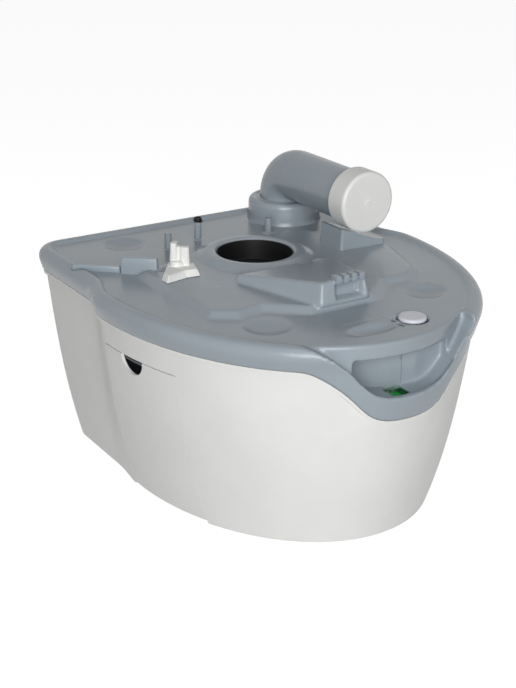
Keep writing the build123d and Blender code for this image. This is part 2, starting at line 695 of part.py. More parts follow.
with BuildPart() as spout_collar:
    with BuildSketch(Plane.XZ.offset(-SPOUT_Y)):
        with BuildLine():
            Polyline(
                (SPOUT_X + SPOUT_TUBE_RADIUS + 0.3, COLLAR_TOP),
                (SPOUT_X + SPOUT_TUBE_RADIUS + 0.3, BOSS_TOP + 4.8),
                (SPOUT_X + BOSS_RADIUS + 0.1, BOSS_TOP + 4.8),
                (SPOUT_X + BOSS_RADIUS + 0.1, BOSS_TOP - 6),
                (SPOUT_X + COLLAR_RADIUS, BOSS_TOP - 6),
                (SPOUT_X + COLLAR_RADIUS, COLLAR_TOP - 3),
                (SPOUT_X + COLLAR_RADIUS - 3, COLLAR_TOP),
                close=True,
            )
        make_face()
    revolve(axis=Axis((SPOUT_X, SPOUT_Y, 0), (0, 0, 1)))
save(spout_collar.part, "spout_collar")

cap_plane = Plane(origin=(SPOUT_X, CAP_FACE_Y, SPOUT_AXIS_Z), x_dir=(1, 0, 0), z_dir=(0, 1, 0))
CAP_FLOOR = 2.5
with BuildPart() as spout_cap:
    with BuildSketch(cap_plane):
        Circle(CAP_RADIUS)
    extrude(amount=CAP_LENGTH)
    fillet(edges().group_by(Axis.Y)[0], 4)
    fillet(edges().group_by(Axis.Y)[-1], 1.2)
    with BuildSketch(cap_plane):
        Circle(3)
    extrude(amount=-1.2)
    with BuildSketch(cap_plane.offset(CAP_FLOOR)):
        Circle(NECK_OUTER_RADIUS + 0.5)
    extrude(amount=CAP_LENGTH, mode=Mode.SUBTRACT)
save(spout_cap.part, "spout_cap")

with BuildPart() as cap_liner:
    with BuildSketch(cap_plane.offset(CAP_FLOOR + 0.06)):
        Circle(NECK_OUTER_RADIUS)
    extrude(amount=NECK_END_Y - CAP_FACE_Y - CAP_FLOOR - 0.4)
save(cap_liner.part, "cap_liner")

# Vent: button on a sprung stem that lifts a sealing disc off its seat
with BuildPart() as vent_housing:
    with Locations((VENT_X, VENT_Y, VENT_SEAT_Z)):
        Cylinder(VENT_BUTTON_RADIUS + 0.7, 16, align=UPRIGHT)
    with Locations((VENT_X, VENT_Y, VENT_SEAT_Z + 3)):
        Cylinder(11, 20, align=UPRIGHT, mode=Mode.SUBTRACT)
    with Locations((VENT_X, VENT_Y, 190)):
        Cylinder(5, 20, align=UPRIGHT, mode=Mode.SUBTRACT)
save(vent_housing.part, "vent_housing")

with BuildPart() as vent_stem:
    with Locations((VENT_X, VENT_Y, 187)):
        Cylinder(VENT_STEM_RADIUS, 28, align=UPRIGHT)
        Cylinder(VENT_DISC_RADIUS, 2.6, align=UPRIGHT)
save(vent_stem.part, "vent_stem")

with BuildPart() as vent_seal:
    with BuildSketch(Plane.XY.offset(189.6)):
        with Locations((VENT_X, VENT_Y)):
            Circle(VENT_DISC_RADIUS)
            Circle(5.5, mode=Mode.SUBTRACT)
    extrude(amount=2.1)
save(vent_seal.part, "vent_seal")

with BuildPart() as vent_button:
    with BuildSketch(Plane.XY.offset(213)):
        with Locations((VENT_X, VENT_Y)):
            Circle(VENT_BUTTON_RADIUS)
    extrude(amount=9)
    fillet(edges().group_by(Axis.Z)[-1], 1.5)
    with Locations((VENT_X, VENT_Y, 213)):
        Cylinder(VENT_STEM_RADIUS, 4, mode=Mode.SUBTRACT)
save(vent_button.part, "vent_button")

SPRING_RADIUS, SPRING_WIRE, SPRING_TURNS = 8.0, 0.6, 5
SPRING_LOW, SPRING_HIGH = 195.0, 213.0
with BuildPart() as vent_spring:
    with BuildLine():
        Helix(
            pitch=(SPRING_HIGH - SPRING_LOW - 2 * SPRING_WIRE) / SPRING_TURNS,
            height=SPRING_HIGH - SPRING_LOW - 2 * SPRING_WIRE,
            radius=SPRING_RADIUS,
            center=(VENT_X, VENT_Y, SPRING_LOW + SPRING_WIRE),
        )
    spring_start = Plane(origin=(VENT_X + SPRING_RADIUS, VENT_Y, SPRING_LOW + SPRING_WIRE), z_dir=(0, 1, 0))
    with BuildSketch(spring_start):
        RegularPolygon(SPRING_WIRE, 6)
    sweep(is_frenet=True)
save(vent_spring.part, "vent_spring")

# Level indicator: window in the recess floor, float linkage below it
with BuildPart() as indicator_window:
    with Locations((0, WINDOW_Y, WINDOW_TOP)):
        Box(WINDOW_WIDTH, WINDOW_LENGTH, 2, align=HANGING)
save(indicator_window.part, "indicator_window")

pivot_plane = Plane(origin=(0, FLOAT_PIVOT_Y, FLOAT_PIVOT_Z), x_dir=(0, 1, 0), z_dir=(1, 0, 0))
with BuildPart() as float_bracket:
    with BuildSketch(Plane.XY.offset(FLOAT_PIVOT_Z - 4)):
        with Locations((9, FLOAT_PIVOT_Y), (-9, FLOAT_PIVOT_Y)):
            Rectangle(3, 10)
    extrude(amount=20)
    add(finger_recess(SCOOP_WALL, 255), mode=Mode.SUBTRACT)
    with BuildSketch(pivot_plane.offset(-20)):
        Circle(1.6)
    extrude(amount=40, mode=Mode.SUBTRACT)
save(float_bracket.part, "float_bracket")

with BuildPart() as float_arm:
    with BuildSketch(pivot_plane.offset(-6)):
        Circle(4)
    extrude(amount=12)
    with BuildSketch(pivot_plane.offset(-12)):
        Circle(1.5)
    extrude(amount=24)
    with BuildSketch(pivot_plane.offset(-2)):
        with BuildLine():
            Polyline(
                (0, -3),
                (0, 3),
                (FLOAT_REACH, -FLOAT_DROP + 3),
                (FLOAT_REACH, -FLOAT_DROP - 1),
                close=True,
            )
        make_face()
        with BuildLine():
            Polyline((0, -2), (0, 2), (-13, 7), (-13, 5), close=True)
        make_face()
    extrude(amount=4)
save(float_arm.part, "float_arm")

with BuildPart() as indicator_flag:
    with Locations((0, FLOAT_PIVOT_Y - 20, FLOAT_PIVOT_Z + 6)):
        Box(15, 17, 1.4)
    add(float_arm.part, mode=Mode.SUBTRACT)
save(indicator_flag.part, "indicator_flag")

with BuildPart() as float_ball:
    with Locations((0, FLOAT_PIVOT_Y + FLOAT_REACH + 12, FLOAT_PIVOT_Z - FLOAT_DROP)):
        Box(30, 24, 14)
    fillet(edges(), 3)
    add(float_arm.part, mode=Mode.SUBTRACT)
save(float_ball.part, "float_ball")

# Storage: box behind the door, door with its knuckles, pin and catch
pin_back = Vector(wall_edge_x(DOOR_BACK, DOOR_AXIS_Z, 8.6), DOOR_BACK, DOOR_AXIS_Z)
pin_front = Vector(wall_edge_x(DOOR_FRONT, DOOR_AXIS_Z, 8.6), DOOR_FRONT, DOOR_AXIS_Z)
pin_way = (pin_front - pin_back).normalized()
pin_length = (pin_front - pin_back).length
print("door pin", [round(v / 1000, 5) for v in pin_back], [round(v, 5) for v in pin_way])


def pin_plane(distance):
    """Plane square to the door's pin, at a distance along it; local y points outwards."""
    return Plane(origin=pin_back + pin_way * distance, z_dir=pin_way, x_dir=(0, 0, 1))


with BuildPart() as storage_liner:
    with BuildSketch(Plane.YZ.offset(-200)):
        with Locations(((LINER_BACK + LINER_FRONT) / 2, (LINER_CEILING + LINER_FLOOR) / 2)):
            Rectangle(LINER_BACK - LINER_FRONT, LINER_CEILING - LINER_FLOOR)
        fillet(vertices(), 6)
    extrude(amount=200 + LINER_DEPTH_X)
    with BuildSketch(Plane.YZ.offset(-200)):
        with Locations(((LINER_BACK + LINER_FRONT) / 2, (LINER_CEILING + LINER_FLOOR) / 2)):
            Rectangle(
                LINER_BACK - LINER_FRONT - 2 * LINER_WALL,
                LINER_CEILING - LINER_FLOOR - 2 * LINER_WALL,
            )
        fillet(vertices(), 6 - LINER_WALL)
    extrude(amount=200 + LINER_DEPTH_X - LINER_WALL, mode=Mode.SUBTRACT)
    add(wall_solid(wall_heights, CASING_WALL + 0.4), mode=Mode.INTERSECT)
    for start in (7.0, pin_length - 19.0):
        with BuildSketch(pin_plane(start)):
            Circle(4.2)
            with Locations((5, 0)):
                Rectangle(10, 8.4)
        extrude(amount=12)
    with BuildSketch(pin_plane(-5)):
        Circle(DOOR_PIN_RADIUS)
    extrude(amount=pin_length + 10, mode=Mode.SUBTRACT)
save(storage_liner.part, "storage_liner")

with BuildPart() as door_pin:
    with BuildSketch(pin_plane(5)):
        Circle(DOOR_PIN_RADIUS)
    extrude(amount=pin_length - 10)
save(door_pin.part, "door_pin")

with BuildPart() as storage_door:
    for start in (20.0, pin_length - 31.0):
        with BuildSketch(pin_plane(start)):
            Circle(4.2)
            with Locations((0, 8)):
                Rectangle(8.4, 16)
        extrude(amount=11)
    add(wall_solid(wall_heights, 1.0), mode=Mode.INTERSECT)
    with BuildPart(mode=Mode.PRIVATE) as door_skin:
        with BuildSketch(Plane.YZ.offset(-210)):
            with Locations(((DOOR_BACK + DOOR_FRONT) / 2, (DOOR_TOP + DOOR_BOTTOM) / 2)):
                Rectangle(DOOR_BACK - DOOR_FRONT, DOOR_TOP - DOOR_BOTTOM)
            fillet(vertices().group_by(Axis.Y)[-1], 4)
            with Locations((NOTCH_Y, DOOR_TOP)):
                Circle(NOTCH_RADIUS, mode=Mode.SUBTRACT)
        extrude(amount=110)
        add(outer_wall, mode=Mode.INTERSECT)
        add(inner_wall, mode=Mode.SUBTRACT)
    add(door_skin.part)
    with BuildSketch(pin_plane(-5)):
        Circle(DOOR_PIN_RADIUS + RUNNING_FIT)
    extrude(amount=pin_length + 10, mode=Mode.SUBTRACT)
save(storage_door.part, "storage_door")

with BuildPart() as door_catch:
    with BuildSketch(Plane.XZ.offset(-DOOR_BACK + 16)):
        with BuildLine():
            Polyline(
                (-150, LINER_CEILING - LINER_WALL),
                (CATCH_X, LINER_CEILING - LINER_WALL),
                (CATCH_X, LINER_CEILING - LINER_WALL - 3),
                (CATCH_X + 3, LINER_CEILING - LINER_WALL - 5),
                (CATCH_X + 6, LINER_CEILING - LINER_WALL - 2),
                (-150, LINER_CEILING - LINER_WALL - 2),
                close=True,
            )
        make_face()
    extrude(amount=10)
save(door_catch.part, "door_catch")

# Small hardware: shelf latch, casing screws and rubber feet
with BuildPart() as latch_socket:
    with Locations((LATCH_X, LATCH_Y, RIM_TOP - 8)):
        Cylinder(LATCH_RADIUS, 8, align=UPRIGHT)
    with Locations((LATCH_X, LATCH_Y, RIM_TOP - 6)):
        Cylinder(LATCH_RADIUS - 1, 8, align=UPRIGHT, mode=Mode.SUBTRACT)
save(latch_socket.part, "latch_socket")

with BuildPart() as feet:
    with Locations(*[(x, y, 0) for x, y in FEET]):
        Cylinder(10, TUB_BOTTOM, align=UPRIGHT)
    chamfer(edges().group_by(Axis.Z)[0], 1)
save(feet.part, "feet")
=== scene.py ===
"""Waste-holding tank of a portable toilet, dressed as it stands in its photograph.

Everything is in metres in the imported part's own frame: +Z is up and the hand recess faces -Y.
"""

import json
import logging
import math
from collections.abc import Sequence
from dataclasses import dataclass, field
from enum import Enum

import bmesh
import bpy
import numpy as np
from mathutils import Matrix, Vector


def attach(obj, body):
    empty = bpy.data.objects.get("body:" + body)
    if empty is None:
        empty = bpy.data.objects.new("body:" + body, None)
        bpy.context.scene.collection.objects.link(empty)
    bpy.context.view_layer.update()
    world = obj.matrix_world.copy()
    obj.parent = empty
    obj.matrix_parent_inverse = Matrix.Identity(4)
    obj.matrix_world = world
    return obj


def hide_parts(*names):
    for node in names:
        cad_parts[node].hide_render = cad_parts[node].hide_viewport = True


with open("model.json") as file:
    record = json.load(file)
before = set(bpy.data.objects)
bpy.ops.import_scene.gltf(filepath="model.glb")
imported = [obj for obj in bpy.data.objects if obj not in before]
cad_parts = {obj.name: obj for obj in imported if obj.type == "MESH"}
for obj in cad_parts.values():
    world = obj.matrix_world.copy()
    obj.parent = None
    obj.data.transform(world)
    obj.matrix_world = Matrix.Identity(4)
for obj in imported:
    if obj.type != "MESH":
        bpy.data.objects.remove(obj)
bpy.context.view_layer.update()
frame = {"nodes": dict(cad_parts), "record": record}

log = logging.getLogger("holding_tank")
MM = 0.001
Point = tuple[float, float]
Place = tuple[float, float, float]


class Body(Enum):
    """Moving bodies of the part that a piece can ride on."""

    TANK = "tank"
    VALVE = "valve"
    SPOUT = "spout"
    VENT = "vent"


class Slot(Enum):
    """Material slots of the record."""

    CASING = "casing_white"
    DECK = "deck_gray"
    TANK = "tank_gray"
    CAP = "cap_white"
    BUTTON = "button_white"
    RUBBER = "seal_rubber"
    BLADE = "blade_black"
    LINER = "liner_gray"
    STEEL = "steel"
    WINDOW = "window_clear"
    FLAG = "flag_green"
    FLOAT = "float_white"


def linear(hex_colour: str) -> tuple[float, float, float, float]:
    """Turn an sRGB hex colour into a linear one.

    Args:
        hex_colour: Colour such as "#9CA6AD".

    Returns:
        Linear red, green, blue and an alpha of 1.
    """
    parts = [int(hex_colour[i : i + 2], 16) / 255 for i in (1, 3, 5)]
    return (*[c / 12.92 if c <= 0.04045 else ((c + 0.055) / 1.055) ** 2.4 for c in parts], 1.0)


def add_node(
    tree: bpy.types.NodeTree,
    kind: str,
    settings: dict | None = None,
    values: dict | None = None,
    links: dict | None = None,
) -> bpy.types.Node:
    """Add one node with its settings and links.

    Args:
        tree: Material or geometry node tree.
        kind: The node's type name.
        settings: Attributes of the node.
        values: Input values by socket name or number.
        links: Output sockets by the input's name or number.

    Returns:
        The new node.
    """
    node = tree.nodes.new(kind)
    for key, value in (settings or {}).items():
        setattr(node, key, value)
    for key, value in (values or {}).items():
        node.inputs[key].default_value = value
    for key, source in (links or {}).items():
        tree.links.new(source, node.inputs[key])
    return node


@dataclass(frozen=True)
class MouldedPlastic:
    """Moulded thermoplastic: satin, with a fine grain, slow changes of tone and a few rub marks.

    The grain is drawn a little coarser than the real one, so that it shows at this distance.
    """

    name: str
    colour: str
    shade: str
    roughness: float
    grain_mm: float = 1.1
    grain_depth_mm: float = 0.02
    flow_mm: float = 70.0
    rub: float = 0.06
    ior: float = 1.5

    def build(self) -> bpy.types.Material:
        """Make the material.

        Returns:
            The finished material.
        """
        material = bpy.data.materials.new(self.name)
        material.use_nodes = True
        tree = material.node_tree
        tree.nodes.clear()
        place = add_node(tree, "ShaderNodeTexCoord").outputs["Object"]
        flow = add_node(
            tree,
            "ShaderNodeTexNoise",
            values={"Scale": 1000 / self.flow_mm, "Detail": 3.0, "Roughness": 0.55},
            links={"Vector": place},
        )
        tone = add_node(
            tree,
            "ShaderNodeMapRange",
            values={"From Min": 0.35, "From Max": 0.65},
            links={"Value": flow.outputs["Fac"]},
        )
        colour = add_node(
            tree,
            "ShaderNodeMix",
            settings={"data_type": "RGBA"},
            values={6: linear(self.colour), 7: linear(self.shade)},
            links={0: tone.outputs["Result"]},
        )
        stretch = add_node(
            tree,
            "ShaderNodeMapping",
            values={"Rotation": (0.3, 0.2, 0.7), "Scale": (1.0, 9.0, 6.0)},
            links={"Vector": place},
        )
        rub = add_node(
            tree,
            "ShaderNodeTexNoise",
            values={"Scale": 42.0, "Detail": 5.0, "Roughness": 0.7},
            links={"Vector": stretch.outputs["Vector"]},
        )
        gloss = add_node(
            tree,
            "ShaderNodeMapRange",
            values={
                "From Min": 0.52,
                "From Max": 0.74,
                "To Min": self.roughness,
                "To Max": self.roughness + self.rub,
            },
            links={"Value": rub.outputs["Fac"]},
        )
        grain = add_node(
            tree,
            "ShaderNodeTexNoise",
            values={"Scale": 1000 / self.grain_mm, "Detail": 2.0, "Roughness": 0.5},
            links={"Vector": place},
        )
        bump = add_node(
            tree,
            "ShaderNodeBump",
            values={"Strength": 0.35, "Distance": self.grain_depth_mm * MM},
            links={"Height": grain.outputs["Fac"]},
        )
        shader = add_node(
            tree,
            "ShaderNodeBsdfPrincipled",
            values={"IOR": self.ior},
            links={
                "Base Color": colour.outputs[2],
                "Roughness": gloss.outputs["Result"],
                "Normal": bump.outputs["Normal"],
            },
        )
        add_node(tree, "ShaderNodeOutputMaterial", links={"Surface": shader.outputs["BSDF"]})
        return material


@dataclass(frozen=True)
class ClearPlastic(MouldedPlastic):
    """Clear moulded window: a thin glossy skin that lets the colour behind it through."""

    alpha: float = 0.15

    def build(self) -> bpy.types.Material:
        """Make the material, mostly see-through.

        Returns:
            The finished material.
        """
        material = super().build()
        for node in material.node_tree.nodes:
            if node.bl_idname == "ShaderNodeBsdfPrincipled":
                node.inputs["Alpha"].default_value = self.alpha
        return material


@dataclass(frozen=True)
class PlatedSteel:
    """Zinc-plated steel: a pale metal with drawn streaks and slightly uneven gloss."""

    name: str
    colour: str
    roughness: float
    streak_mm: float = 0.4

    def build(self) -> bpy.types.Material:
        """Make the material.

        Returns:
            The finished material.
        """
        material = bpy.data.materials.new(self.name)
        material.use_nodes = True
        tree = material.node_tree
        tree.nodes.clear()
        place = add_node(tree, "ShaderNodeTexCoord").outputs["Object"]
        stretch = add_node(
            tree, "ShaderNodeMapping", values={"Scale": (1.0, 0.1, 1.0)}, links={"Vector": place}
        )
        streak = add_node(
            tree,
            "ShaderNodeTexNoise",
            values={"Scale": 1000 / self.streak_mm, "Detail": 3.0},
            links={"Vector": stretch.outputs["Vector"]},
        )
        gloss = add_node(
            tree,
            "ShaderNodeMapRange",
            values={"To Min": self.roughness - 0.08, "To Max": self.roughness + 0.12},
            links={"Value": streak.outputs["Fac"]},
        )
        bump = add_node(
            tree,
            "ShaderNodeBump",
            values={"Strength": 0.3, "Distance": 0.01 * MM},
            links={"Height": streak.outputs["Fac"]},
        )
        shader = add_node(
            tree,
            "ShaderNodeBsdfPrincipled",
            values={"Base Color": linear(self.colour), "Metallic": 1.0},
            links={"Roughness": gloss.outputs["Result"], "Normal": bump.outputs["Normal"]},
        )
        add_node(tree, "ShaderNodeOutputMaterial", links={"Surface": shader.outputs["BSDF"]})
        return material


# Finish of each material slot. Polypropylene casings come out satin with a soft highlight, blow-moulded
# polyethylene a little waxier, and the seals are matte black rubber.
FINISHES = {
    Slot.CASING: MouldedPlastic("white_polypropylene", "#EAEAE8", "#E6E6E4", 0.42, rub=0.08),
    Slot.DECK: MouldedPlastic("gray_polyethylene", "#99A3AB", "#959FA7", 0.27, grain_mm=1.6, rub=0.005),
    Slot.TANK: MouldedPlastic("blow_moulded_gray_polyethylene", "#8E979D", "#878F95", 0.45),
    Slot.CAP: MouldedPlastic("warm_white_polypropylene", "#ECECE9", "#E8E8E5", 0.36),
    Slot.BUTTON: MouldedPlastic("cool_white_acetal", "#DCDDE6", "#D8D9E2", 0.3),
    Slot.RUBBER: MouldedPlastic("black_nitrile_rubber", "#1B1B1C", "#232324", 0.7, grain_mm=0.6),
    Slot.BLADE: MouldedPlastic("black_abs", "#0B0B0C", "#0E0E0F", 0.42),
    Slot.LINER: MouldedPlastic("dark_gray_polystyrene", "#43474B", "#3E4246", 0.5),
    Slot.STEEL: PlatedSteel("zinc_plated_steel", "#C4C6C8", 0.36),
    Slot.WINDOW: ClearPlastic("clear_san", "#0AA03E", "#0A9438", 0.3),
    Slot.FLAG: MouldedPlastic("green_abs", "#12C850", "#10BE4A", 0.4),
    Slot.FLOAT: MouldedPlastic("white_foam_polyethylene", "#E3E2DC", "#DAD9D2", 0.7, grain_mm=0.9),
}


class FinishShelf:
    """Materials of all finishes, each made once."""

    def __init__(self) -> None:
        """Build every material."""
        self.made = {slot: finish.build() for slot, finish in FINISHES.items()}

    def dress(self, piece: bpy.types.Object, slot: Slot) -> None:
        """Give a piece the only material of its slot.

        Args:
            piece: Mesh object.
            slot: Material slot of the record.
        """
        piece.data.materials.clear()
        piece.data.materials.append(self.made[slot])

    def mount(
        self, piece: bpy.types.Object, body: Body, slot: Slot, replaced: Sequence[str] = ()
    ) -> None:
        """Give a piece the finish of its slot and let it ride on its body.

        Args:
            piece: Finished object.
            body: Body that carries it.
            slot: Material slot it takes its finish from.
            replaced: CAD nodes that it stands for.
        """
        self.dress(piece, slot)
        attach(piece, body.value)
        if replaced:
            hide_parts(*replaced)
        log.info("%s: %d faces, rides on %s", piece.name, len(piece.data.polygons), body.value)

    def dress_cad(self) -> None:
        """Give every CAD node the finish of the slot that the record names for it."""
        slots = {part["node"]: part["material_slot"] for part in frame["record"]["subparts"]}
        for name, node in frame["nodes"].items():
            self.dress(node, Slot(slots[name]))


def link_mesh(name: str, mesh: bpy.types.Mesh) -> bpy.types.Object:
    """Put a mesh into the scene as an object at the origin.

    Args:
        name: Name of the object and its mesh.
        mesh: Mesh with its place in its vertices.

    Returns:
        The linked object.
    """
    mesh.name = name
    piece = bpy.data.objects.new(name, mesh)
    bpy.context.scene.collection.objects.link(piece)
    return piece


def mesh_from(name: str, work: bmesh.types.BMesh, crease: float = 35.0) -> bpy.types.Object:
    """Turn a bmesh into an object with merged points, outward faces and smooth shading.

    Args:
        name: Name of the object.
        work: Source geometry, freed here.
        crease: Angle in degrees above which an edge stays sharp.

    Returns:
        The linked object.
    """
    bmesh.ops.remove_doubles(work, verts=work.verts, dist=1e-6)
    bmesh.ops.recalc_face_normals(work, faces=work.faces)
    mesh = bpy.data.meshes.new(name)
    work.to_mesh(mesh)
    work.free()
    mesh.shade_smooth()
    mesh.set_sharp_from_angle(angle=math.radians(crease))
    return link_mesh(name, mesh)


def settle(source: bpy.types.Object, crease: float = 35.0) -> bpy.types.Object:
    """Replace an object by the plain mesh that its modifiers make.

    Args:
        source: Object with live modifiers, removed here.
        crease: Angle in degrees above which an edge stays sharp.

    Returns:
        The plain object, under the same name.
    """
    bpy.context.view_layer.update()
    depsgraph = bpy.context.evaluated_depsgraph_get()
    mesh = bpy.data.meshes.new_from_object(source.evaluated_get(depsgraph))
    name = source.name
    bpy.data.objects.remove(source)
    mesh.shade_smooth()
    mesh.set_sharp_from_angle(angle=math.radians(crease))
    return link_mesh(name, mesh)


def lathe(name: str, profile: Sequence[Point], axis: Place, steps: int = 128) -> bpy.types.Object:
    """Revolve a closed profile round a vertical axis.

    Args:
        name: Name of the piece.
        profile: Radius and height pairs in millimetres, closed onto the first.
        axis: Point on the axis, in millimetres.
        steps: Number of steps round.

    Returns:
        The closed ring.
    """
    work = bmesh.new()
    rings = []
    for step in range(steps):
        turn = 2 * math.pi * step / steps
        rings.append(
            [
                work.verts.new(
                    (
                        (axis[0] + r * math.cos(turn)) * MM,
                        (axis[1] + r * math.sin(turn)) * MM,
                        (axis[2] + z) * MM,
                    )
                )
                for r, z in profile
            ]
        )
    for step, ring in enumerate(rings):
        other = rings[(step + 1) % steps]
        for i in range(len(profile)):
            j = (i + 1) % len(profile)
            work.faces.new((ring[i], other[i], other[j], ring[j]))
    return mesh_from(name, work)


def prism(
    work: bmesh.types.BMesh, outline: Sequence[Point], low: float, high: float, draft: float = 0.0
) -> None:
    """Add an upright block with drafted sides to a bmesh.

    Args:
        work: Geometry that the block joins.
        outline: Corners in plan, in millimetres.
        low: Height of its base in millimetres.
        high: Height of its top in millimetres.
        draft: How far the top is drawn in towards the middle, in millimetres.
    """
    middle = np.mean(np.array(outline), axis=0)
    layers = []
    for z, shrink in ((low, 0.0), (high, draft)):
        layer = []
        for corner in outline:
            away = np.array(corner) - middle
            reach = np.linalg.norm(away)
            x, y = middle + away * max(reach - shrink, 0.2) / reach
            layer.append(work.verts.new((x * MM, y * MM, z * MM)))
        layers.append(layer)
    base, top = layers
    work.faces.new(base[::-1])
    work.faces.new(top)
    for i in range(len(outline)):
        j = (i + 1) % len(outline)
        work.faces.new((base[i], base[j], top[j], top[i]))


def round_edges(piece: bpy.types.Object, width_mm: float, steps: int = 3) -> bpy.types.Object:
    """Round every sharp edge of a piece and settle it.

    Args:
        piece: Object with sharp edges.
        width_mm: Radius of the rounding.
        steps: Number of steps across it.

    Returns:
        The settled object.
    """
    bevel = piece.modifiers.new("rounding", "BEVEL")
    bevel.width = width_mm * MM
    bevel.segments = steps
    bevel.limit_method = "ANGLE"
    bevel.angle_limit = math.radians(25)
    bevel.harden_normals = False
    return settle(piece)


def soften(piece: bpy.types.Object, voxel_mm: float, rounds: int) -> bpy.types.Object:
    """Melt overlapping blocks into one soft moulded form and settle it.

    Args:
        piece: Object of closed blocks.
        voxel_mm: Size of the remeshing step.
        rounds: Number of smoothing rounds.

    Returns:
        The settled object.
    """
    remesh = piece.modifiers.new("skin", "REMESH")
    remesh.mode = "VOXEL"
    remesh.voxel_size = voxel_mm * MM
    smooth = piece.modifiers.new("soften", "SMOOTH")
    smooth.factor = 0.5
    smooth.iterations = rounds
    return settle(piece, 60.0)


def polygon_distance(points: np.ndarray, outline: Sequence[Point]) -> np.ndarray:
    """Signed distance from points to a polygon in plan, negative inside.

    Args:
        points: Array of x and y in millimetres.
        outline: Corners of the polygon.

    Returns:
        Distance of each point in millimetres.
    """
    corners = np.array(outline, float)
    best = np.full(len(points), 1e9)
    inside = np.zeros(len(points), bool)
    for start, end in zip(corners, np.roll(corners, -1, axis=0)):
        way = end - start
        share = np.clip(((points - start) @ way) / (way @ way), 0, 1)
        best = np.minimum(best, np.linalg.norm(points - start - share[:, None] * way, axis=1))
        crosses = (start[1] > points[:, 1]) != (end[1] > points[:, 1])
        rise = np.where(end[1] == start[1], 1e-9, end[1] - start[1])
        at = start[0] + (points[:, 1] - start[1]) / rise * way[0]
        inside ^= crosses & (points[:, 0] < at)
    return np.where(inside, -best, best)


def ease(values: np.ndarray) -> np.ndarray:
    """Smooth step from 0 to 1."""
    share = np.clip(values, 0, 1)
    return share * share * (3 - 2 * share)


def geometry_tree(name: str, sizes: dict[str, float]) -> bpy.types.NodeTree:
    """Start a geometry tree with a mesh in, a mesh out and named sizes.

    Args:
        name: Name of the tree.
        sizes: Default value of each named input.

    Returns:
        The tree, with its group input and output nodes.
    """
    tree = bpy.data.node_groups.new(name, "GeometryNodeTree")
    tree.interface.new_socket(name="Geometry", in_out="INPUT", socket_type="NodeSocketGeometry")
    for label, value in sizes.items():
        socket = tree.interface.new_socket(name=label, in_out="INPUT", socket_type="NodeSocketFloat")
        socket.default_value = value
    tree.interface.new_socket(name="Geometry", in_out="OUTPUT", socket_type="NodeSocketGeometry")
    return tree


def end_tree(
    tree: bpy.types.NodeTree, shape: bpy.types.NodeSocket, material: bpy.types.Material
) -> None:
    """Close a geometry tree: instances made real, then their material.

    Args:
        tree: Tree to close.
        shape: Socket that carries the finished shape.
        material: Material of the result.
    """
    real = add_node(tree, "GeometryNodeRealizeInstances", links={0: shape})
    dressed = add_node(
        tree,
        "GeometryNodeSetMaterial",
        values={"Material": material},
        links={"Geometry": real.outputs[0]},
    )
    add_node(tree, "NodeGroupOutput", links={0: dressed.outputs[0]})


def run_tree(
    name: str, points: Sequence[Place], joined: bool, tree: bpy.types.NodeTree, sizes: dict[str, float]
) -> bpy.types.Object:
    """Run a geometry tree over a few points and settle the result.

    Args:
        name: Name of the piece.
        points: Points in millimetres.
        joined: Whether edges join the points in order.
        tree: Tree to run.
        sizes: Values of the tree's named inputs.

    Returns:
        The plain mesh object.
    """
    mesh = bpy.data.meshes.new(name)
    edges = [(i, i + 1) for i in range(len(points) - 1)] if joined else []
    mesh.from_pydata([[c * MM for c in p] for p in points], edges, [])
    host = link_mesh(name, mesh)
    modifier = host.modifiers.new("shape", "NODES")
    modifier.node_group = tree
    for item in tree.interface.items_tree:
        if item.in_out == "INPUT" and item.name in sizes:
            modifier[item.identifier] = sizes[item.name]
    return settle(host)


@dataclass(frozen=True)
class Zone:
    """Box in space that picks out vertices. Sizes in millimetres."""

    low: Place
    high: Place

    def holds(self, places: np.ndarray) -> np.ndarray:
        """Find the vertices inside the box.

        Args:
            places: Vertex places in millimetres.

        Returns:
            Mask of the vertices inside.
        """
        return np.all((places > self.low) & (places < self.high), axis=1)


